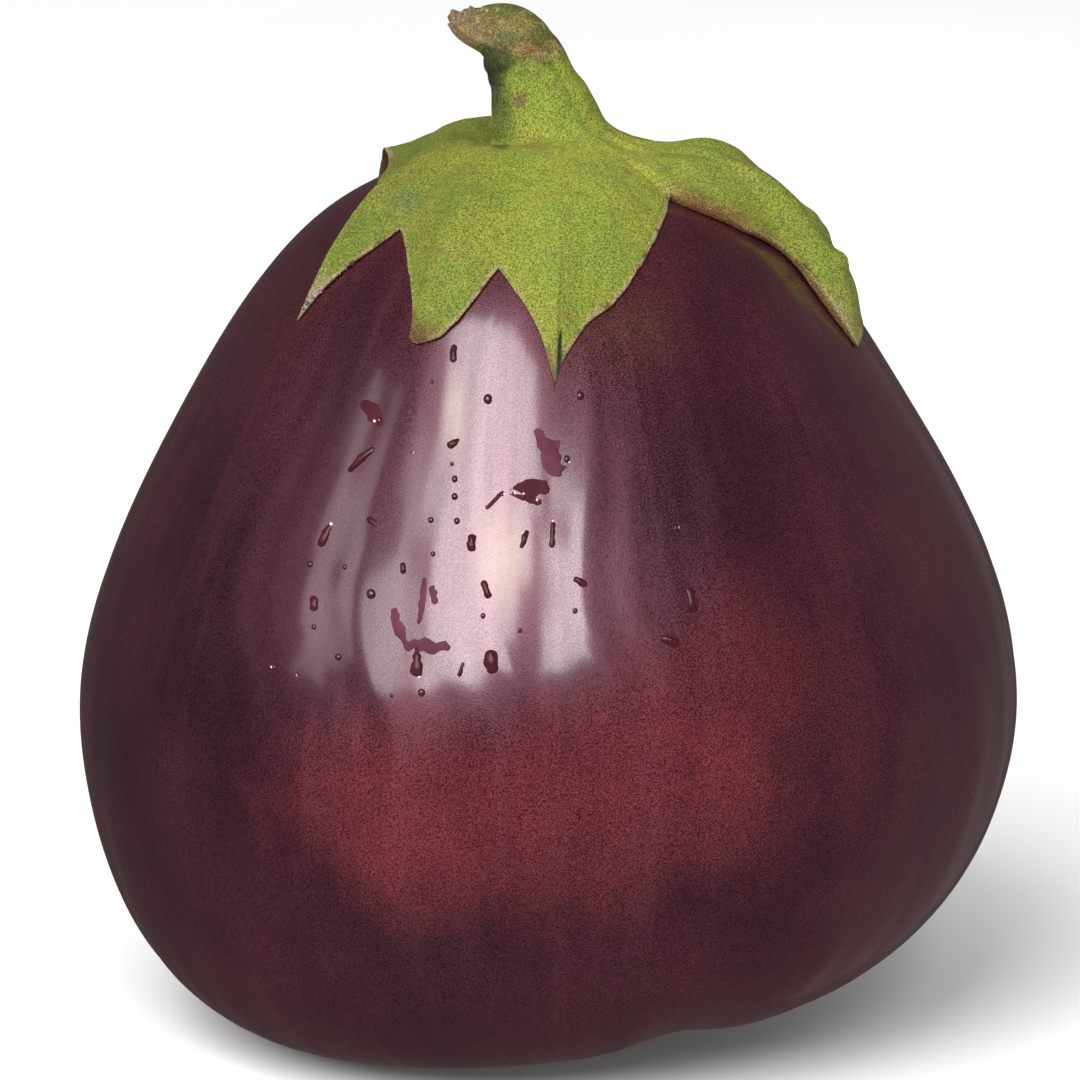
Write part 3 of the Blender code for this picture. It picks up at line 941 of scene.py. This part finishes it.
def skin_material():
    """Purple skin: near-black purple with clouds, painted light that makes it brighter to the right and at
    the bottom, a painted red glow of light through the skin in streaks and patches, painted shade along the
    calyx's edge, and fine specks.

    The sharp clear coat lies over a rougher, wine-tinted gloss, which gives the haze round the highlights."""
    s = Shader("purple_skin_waxy")
    grain = s.attribute("grain", "Vector")
    clouds = s.noise(45.0, 4.0)
    mottle = s.noise(130.0, 5.0, 0.7)
    streaks = s.noise(260.0, 4.0, 0.6, grain)
    broad_streaks = s.noise(120.0, 3.0, 0.5, grain)
    specks = s.noise(5600.0, 1.0, 0.9)
    dark = (0.0118, 0.0031, 0.007)
    plum = (0.0435, 0.0098, 0.0155)
    red = (0.115, 0.0165, 0.0215)
    place = s.node("ShaderNodeSeparateXYZ", {"Vector": s.where})
    # Tone: at random by the clouds, plus painted light that makes the skin brighter towards the right side,
    # and towards the bottom where light bounces from the floor
    tone = s.plus(s.step(clouds, 0.3, 0.7, 0.5), s.step(place.outputs["X"], -0.05, 0.05, 0.4))
    tone = s.plus(tone, s.step(place.outputs["Z"], 0.035, 0.0, 0.5))
    s.colour = s.mix(tone, dark, plum)
    uneven = s.plus(s.plus(mottle, -0.5), s.plus(broad_streaks, -0.5))
    # Painted red glow of light scattered back through the skin, low on the front: centre, radius and strength
    # of the balls that it grows from
    for centre, radius, strength in (
        ((-1, -52, 42.5), (55, 70, 25.5), 0.62),
        ((19, -52, 55), (30, 60, 23), 0.36),
        ((-22, -52, 41), (16, 60, 19), 0.35),
        ((-13, -52, 35), (16, 60, 13), 0.3),
        ((20, -52, 44), (14, 60, 15), 0.35),
    ):
        ball = s.ball(centre, radius)
        painted_glow = s.step(s.plus(ball, s.times(uneven, 0.8)), 0.1, 1.0, strength)
        s.paint(s.times(painted_glow, s.step(ball, 0.0, 0.3)), red)
    # Painted shade of the calyx on the skin along its edge, in dark red, and an olive-brown tint next to the
    # front sepal's right edge
    near = s.attribute("shade")
    s.paint(s.times(near, 0.35), (0.07, 0.014, 0.014))
    olive = s.times(s.ball((13, -40, 96), (11, 14, 8)), near)
    s.paint(olive, (0.075, 0.04, 0.016))
    s.paint(s.step(streaks, 0.5, 0.75, 0.14), (0.09, 0.022, 0.03))
    cream = s.math("MAXIMUM", s.ball((-5.4, -52, 71.5), (5.0, 24, 9)), s.ball((-11, -46, 87), (2.2, 20, 7)))
    cream = s.times(cream, s.step(mottle, 0.3, 0.6, 1.0, 0.3))
    s.paint(s.times(cream, 0.55), (0.21, 0.19, 0.09))
    s.glaze(s.grains(specks, 0.28, 0.72, 0.2, 2.0))
    scar = s.times(s.ball((*SCAR_PLACE, 1.0), (9, 9, 6)), 2.2)
    cork = s.mix(s.noise(900.0, 4.0), (0.16, 0.09, 0.045), (0.34, 0.23, 0.13))
    s.paint(s.step(s.plus(scar, s.times(clouds, 0.5)), 0.9, 1.15), cork)
    s.bump(s.plus(s.times(streaks, 0.4), s.times(specks, 0.5)), 0.35, 0.15)
    dull = s.plus(s.step(specks, 0.3, 0.7, 0.34, 0.14), s.step(broad_streaks, 0.35, 0.65, 0.07, -0.05))
    dull = s.plus(dull, s.step(streaks, 0.4, 0.65, 0.06, -0.03))
    s.set(Base_Color=s.colour, Roughness=dull, Specular_IOR_Level=0.8)
    waxed = s.times(s.step(specks, 0.3, 0.7, 0.6, 1.0), s.step(streaks, 0.35, 0.65, 0.8, 1.0))
    s.set(IOR=1.45, Specular_Tint=(1.0, 0.5, 0.64), Coat_Weight=waxed, Coat_Roughness=0.115, Coat_IOR=1.58)
    return s.material


def calyx_material():
    """Green of the calyx: yellow-green with faint clouds and felt, brown and tan rims, brown corky hook,
    painted light that makes its right side and middle brighter, and painted shade in the slits, under the
    hook and at the stem's left.
    """
    s = Shader("green_calyx_downy")
    inset = s.attribute("inset")
    low = s.attribute("low")
    side = s.attribute("side")
    clouds = s.noise(130.0, 3.0)
    blotches = s.noise(300.0, 4.0, 0.65)
    patches = s.noise(650.0, 3.0, 0.6)
    specks = s.noise(4600.0, 1.0, 0.9)
    wobble = s.plus(blotches, -0.5)
    black = (0.016, 0.02, 0.011)
    brown = (0.075, 0.042, 0.018)
    rust = (0.125, 0.058, 0.022)
    tan = (0.245, 0.195, 0.095)
    olive = (0.075, 0.082, 0.022)
    s.colour = s.mix(s.step(clouds, 0.35, 0.65), (0.138, 0.147, 0.021), (0.106, 0.136, 0.019))
    s.paint(s.step(blotches, 0.6, 0.75, 0.4), (0.075, 0.112, 0.04))
    s.paint(s.step(blotches, 0.46, 0.3, 0.45), (0.12, 0.092, 0.03))
    s.paint(s.step(patches, 0.55, 0.75, 0.35), (0.2, 0.21, 0.045))
    s.paint(s.step(patches, 0.45, 0.28, 0.35), (0.06, 0.07, 0.014))
    cool = (0.06, 0.1, 0.055)
    # Cooler green: centre, radius and strength
    for centre, radius, strength in (
        ((-17, -14, 108), (4, 8, 3), 0.6),
        ((24, -6, 110), (8, 8, 2.5), 0.5),
        ((33, -6, 104), (6, 8, 4), 0.5),
    ):
        s.paint(s.times(s.ball(centre, radius), strength), cool)
    place = s.node("ShaderNodeSeparateXYZ", {"Vector": s.where})
    # Painted light: the right side of the calyx and stem made brighter, and a broad patch round the front of
    # the stem's foot made brighter too
    painted_light_right = s.mix(s.step(place.outputs["X"], -0.02, -0.004), (1.0,) * 3, (1.27, 1.25, 1.22))
    s.glaze(painted_light_right)
    s.glaze(s.mix(s.ball((6, -10, 113), (17, 40, 25)), (1.0,) * 3, (1.33, 1.31, 1.33)))
    edge = s.plus(inset, s.times(wobble, 1.6))
    on_right = s.step(side, -0.1, 0.1, 0.9, 0.35)
    rim = s.mix(s.step(s.noise(500.0), 0.5, 0.66), tan, brown)
    s.paint(s.times(s.step(edge, 1.15, 0.3), on_right), rim)
    # Stains along the edges: place on the skin, radius, colour and strength
    for angle, length, radius, tint, strength in (
        (-54.0, 40.5, (5, 6, 6), (0.24, 0.185, 0.165), 0.85),
        (-25.0, 43.0, (5.0, 5, 4.0), brown, 0.95),
        (1.2, 46.5, (3.4, 6, 5.0), (0.12, 0.082, 0.04), 1.0),
        (1.2, 49.0, (2.0, 5, 2.6), black, 0.7),
        (68.5, 45.0, (6, 8, 6), tan, 0.7),
        (48.5, 24.6, (5.0, 7, 4.0), rust, 1.0),
        (53.0, 27.8, (6.0, 7, 4.0), rust, 1.0),
        (60.0, 32.0, (5.0, 6, 4.0), rust, 0.6),
        (-104.0, 22.0, (5, 9, 4), (0.135, 0.1, 0.03), 0.9),
        (-128.0, 27.0, (7, 9, 5), (0.15, 0.095, 0.028), 0.95),
    ):
        centre = above_skin(math.radians(angle), length, 0.5)
        mask = s.times(s.ball(centre, radius), s.step(edge, 3.2, 0.5, strength, 0.45 * strength))
        s.paint(mask, tint)
    # Painted shade: black in the slits of the tips
    s.paint(s.step(s.attribute("slit"), 0.2, 0.6, 0.95), black)
    s.paint(s.step(low, 0.15, 0.6, 0.9), s.mix(s.noise(600.0), brown, rust))
    level = s.plus(place.outputs["Z"], s.times(wobble, 0.008))
    hook = s.mix(s.step(blotches, 0.4, 0.58), olive, (0.12, 0.08, 0.03))
    hook = s.mix(s.step(patches, 0.5, 0.66, 0.85), hook, (0.27, 0.215, 0.105))
    hook = s.mix(s.step(patches, 0.42, 0.3, 0.6), hook, (0.045, 0.035, 0.015))
    s.paint(s.step(level, 0.1236, 0.1264, 0.9), hook)
    # Stains of the stem and the hook, and painted shade under the hook and in the corner at the stem's left:
    # centre, radius, colour and strength
    for centre, radius, tint, strength in (
        ((-9.4, -4, 127.5), (3.4, 6, 2.4), (0.2, 0.135, 0.065), 0.8),
        ((-3.4, -5, 128.9), (3.6, 5, 2.0), (0.15, 0.125, 0.038), 0.85),
        ((-5.0, -5, 127.6), (2.0, 5, 1.0), (0.07, 0.085, 0.03), 0.8),
        ((-2.2, -6, 125.8), (2.2, 5, 1.3), (0.165, 0.09, 0.035), 0.9),
        ((1.2, -5, 126.6), (1.7, 5, 2.2), (0.155, 0.125, 0.022), 0.8),
        # The next three are painted shade: under the hook, and in the corner at the left of the stem's foot
        ((-6.6, -5, 124.4), (4.0, 9, 3.4), (0.028, 0.034, 0.014), 0.85),
        ((-7.6, -4, 121.0), (3.6, 9, 6.0), (0.022, 0.028, 0.012), 0.95),
        ((-6.2, -6, 118.0), (3.0, 8, 6.0), (0.06, 0.07, 0.018), 0.7),
        ((-3.4, -6, 119.6), (1.8, 6, 1.6), (0.11, 0.07, 0.028), 0.7),
        ((-5.6, -9, 114.6), (1.8, 6, 1.8), (0.045, 0.06, 0.018), 0.7),
        ((-1.0, -9, 114.4), (3.2, 6, 1.6), (0.12, 0.092, 0.028), 0.3),
    ):
        stain_and_painted_shade = s.step(s.plus(s.ball(centre, radius), s.times(wobble, 0.7)), 0.05, 0.65, strength)
        s.paint(s.math("MINIMUM", stain_and_painted_shade, 0.95), tint)
    cut = s.attribute("cut")
    pith = s.mix(s.noise(1300.0), (0.06, 0.036, 0.018), (0.24, 0.17, 0.1))
    s.paint(s.step(cut, 0.25, 0.8), pith)
    s.glaze(s.grains(specks, 0.3, 0.7, 0.45, 1.58))
    s.bump(s.plus(s.times(patches, 0.9), s.times(specks, 0.3)), 0.6, 0.4)
    s.set(Base_Color=s.colour, Roughness=s.step(specks, 0.3, 0.7, 0.85, 0.6), Specular_IOR_Level=0.15)
    return s.material


def water_material(name, tone, level, roughness):
    """Water on the dark skin, as an opaque surface whose wine-dark colour is painted shade, for the little
    light that comes back through it, with darker clouds. The pale painted glints use it too.
    """
    s = Shader(name)
    colour = s.mix(s.step(s.noise(400.0), 0.35, 0.65, 0.6), tone, tuple(part / 2 for part in tone))
    s.set(Base_Color=colour, Roughness=roughness, IOR=1.33, Specular_IOR_Level=level)
    return s.material


def clear_material():
    """Clear water on the calyx."""
    s = Shader("clear_water")
    s.set(Base_Color=(1,) * 3, Roughness=0.02, IOR=1.33, Transmission_Weight=1.0)
    return s.material


def floor_material():
    """Pale matt floor with a very faint unevenness."""
    s = Shader("pale_floor")
    s.set(Base_Color=s.grains(s.noise(6.0, 2.0), 0.3, 0.7, 0.91, 0.93), Roughness=0.9)
    s.set(Specular_IOR_Level=0.1, Emission_Color=(1,) * 3, Emission_Strength=0.05)
    return s.material


# The object

rings, attributes, calyx_edge = calyx_rings()
crown = skin_point(0.0, 0.0) + np.array([0.0, 0.0, SKIN_GAP])
calyx_skin = ring_mesh("calyx_and_stem_skin", rings, rings[0].mean(axis=0), crown, attributes)
calyx = add_piece("calyx_and_stem_skin", calyx_skin, calyx_material())
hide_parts("calyx_and_stem")

fruit = add_piece("fruit_skin", fruit_mesh(calyx_edge), skin_material())
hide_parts("fruit")

# Water on the skin: name, drops, tallest height, unevenness, colour, specular level and roughness
ROUND = 0.1
WATER = [
    ("beads", [[bead] for bead in BEADS], UNLIMITED, ROUND, (0.055, 0.011, 0.017), 1.0, 0.04),
    ("long_beads", LONG_BEADS, UNLIMITED, 0.3, (0.055, 0.011, 0.017), 0.35, 0.12),
    ("films", FILMS, FILM_HEIGHT, 0.6, (0.1, 0.026, 0.047), 0.15, 0.5),
    ("runs", RUNS, FILM_HEIGHT, 0.45, (0.066, 0.013, 0.02), 0.08, 0.5),
    # Painted glints: pale dots that stand for glints of light on the water
    ("painted_glints", [[glint] for glint in PAINTED_GLINTS], UNLIMITED, ROUND, (0.75, 0.6, 0.64), 0.5, 0.2),
]
for name, drops, tallest, uneven, colour, level, roughness in WATER:
    mesh = water_mesh(name, drops, 0.0, tallest, uneven)
    add_piece(name, mesh, water_material(name + "_water", colour, level, roughness))
# Water on the sepals: name, drops and height of the sepal's face above the skin
SEPAL_WATER = [
    ("left_sepal_drops", LEFT_SEPAL_DROPS, 0.65),
    ("right_sepal_drops", RIGHT_SEPAL_DROPS, 1.75),
]
clear = clear_material()
for name, drops, height in SEPAL_WATER:
    add_piece(name, water_mesh(name, [[drop] for drop in drops], height, UNLIMITED, ROUND), clear)

# Studio: floor, lights, camera

FLOOR_SIZE = 6.0

floor_mesh = bpy.data.meshes.new("floor")
corners = [(-1, -1), (1, -1), (1, 1), (-1, 1)]
reach = FLOOR_SIZE / 2
floor_mesh.from_pydata([(reach * x, reach * y, 0.0) for x, y in corners], [], [(0, 1, 2, 3)])
floor_mesh.materials.append(floor_material())
floor = placed("floor", floor_mesh)
floor.visible_glossy = False


def direction(azimuth, elevation):
    """Unit vector from the fruit, by azimuth from the front towards +X and elevation, in degrees."""
    a = math.radians(azimuth)
    e = math.radians(elevation)
    return np.array([math.cos(e) * math.sin(a), -math.cos(e) * math.cos(a), math.sin(e)])


def aim(thing, place, target):
    """Puts a light or camera at a place in metres and points its -Z at the target, with +Y up."""
    thing.location = place.tolist()
    thing.rotation_euler = Vector((target - place).tolist()).to_track_quat("-Z", "Y").to_euler()


LIGHT_DISTANCE = 3.2
WINDOW_ELEVATION = 42.0
LEFT_AZIMUTH = -72.0
LEFT_ELEVATION = 28.0
LEFT_COLOUR = (1.0, 0.84, 0.92)
WALL_COLOUR = (1.0, 0.8, 0.8)
ROOM_COLOUR = (0.92, 0.92, 0.93, 1.0)
ROOM_STRENGTH = 0.5
REFLECTED_ROOM = (0.09, 0.06, 0.06, 1.0)
CLIP_START = 0.01
HEART = np.array([0.0, 0.0, 0.065])


def pane(name, azimuth, elevation, sideways, upwards, radiance, colour=(1.0, 1.0, 1.0)):
    """Rectangular soft light in a plane that faces the fruit from an azimuth and elevation, in degrees.

    Sideways and upwards are the pane's reach in that plane, as shares of the plane's distance."""
    out = direction(azimuth, elevation)
    across = np.array([-out[1], out[0], 0.0]) / math.hypot(out[0], out[1])
    rise = np.cross(out, across)
    light = bpy.data.lights.new(name, "AREA")
    light.shape = "RECTANGLE"
    light.size = LIGHT_DISTANCE * (sideways[1] - sideways[0])
    light.size_y = LIGHT_DISTANCE * (upwards[1] - upwards[0])
    light.energy = radiance * math.pi * light.size * light.size_y
    light.color = colour
    foot = HEART + across * sum(sideways) / 2 * LIGHT_DISTANCE + rise * sum(upwards) / 2 * LIGHT_DISTANCE
    aim(placed(name, light), foot + out * LIGHT_DISTANCE, foot)


# The main window and a narrow one at its right as strips: reach sideways and upwards, and radiance
WINDOW_STRIPS = [
    ((-0.71, -0.66), (-0.36, -0.02), 8.4),
    ((-0.66, -0.45), (-0.36, 0.2), 8.4),
    ((-0.6, -0.45), (0.2, 0.58), 8.2),
    ((-0.45, -0.33), (-0.36, 0.55), 9.2),
    ((-0.33, -0.22), (-0.36, 0.48), 9.2),
    ((-0.22, -0.15), (-0.34, 0.41), 8.4),
    ((-0.15, -0.07), (-0.2, 0.36), 8.0),
    ((-0.07, 0.02), (-0.05, 0.32), 8.0),
    ((0.02, 0.08), (0.07, 0.29), 8.0),
    ((-0.8, -0.67), (0.12, 0.26), 2.8),
    ((-1.1, -0.74), (-0.33, 0.12), 4.6),
    ((0.14, 0.25), (0.04, 0.12), 10.5),
    ((0.078, 0.255), (-0.2, 0.04), 11.5),
    ((0.08, 0.21), (-0.31, -0.2), 10.5),
]
for number, (sideways, upwards, radiance) in enumerate(WINDOW_STRIPS):
    pane("window_%d" % number, 0, WINDOW_ELEVATION, sideways, upwards, radiance)
# A dimmer window at the left as a slanted stack, in the same terms
LEFT_STACK = [
    ((-0.15, -0.02), (0.1, 0.23), 2.2),
    ((-0.12, 0.1), (0.0, 0.1), 3.0),
    ((-0.07, 0.14), (-0.1, 0.0), 3.3),
    ((-0.02, 0.17), (-0.2, -0.1), 2.4),
]
for number, (sideways, upwards, radiance) in enumerate(LEFT_STACK):
    pane("left_window_%d" % number, LEFT_AZIMUTH, LEFT_ELEVATION, sideways, upwards, radiance, LEFT_COLOUR)

# A dim wall at the right, which the fruit's right rim shows
pane("right_wall", 125, 0, (-0.7, 0.7), (-1.2, 0.7), 0.07, WALL_COLOUR)

# A soft pale room, and a dark warm one for the reflections
world = bpy.data.worlds.new("soft_room")
world.use_nodes = True
room = world.node_tree
room_light = room.nodes["Background"]
room_light.inputs["Color"].default_value = ROOM_COLOUR
room_light.inputs["Strength"].default_value = ROOM_STRENGTH
room_dark = room.nodes.new("ShaderNodeBackground")
room_dark.inputs["Color"].default_value = REFLECTED_ROOM
ray = room.nodes.new("ShaderNodeLightPath")
choice = room.nodes.new("ShaderNodeMixShader")
room.links.new(ray.outputs["Is Glossy Ray"], choice.inputs["Fac"])
room.links.new(room_light.outputs["Background"], choice.inputs[1])
room.links.new(room_dark.outputs["Background"], choice.inputs[2])
room.links.new(choice.outputs["Shader"], room.nodes["World Output"].inputs["Surface"])
bpy.context.scene.world = world

camera_data = bpy.data.cameras.new("camera")
camera_data.sensor_width = SENSOR
camera_data.lens = SENSOR * VIEW_DISTANCE / VIEW_WIDTH
camera_data.clip_start = CLIP_START
camera = placed("camera", camera_data)
aim(camera, (EYE - MIDDLE) * MM, (VIEW_CENTRE - MIDDLE) * MM)
bpy.context.scene.camera = camera

bpy.context.scene.view_settings.view_transform = "Standard"
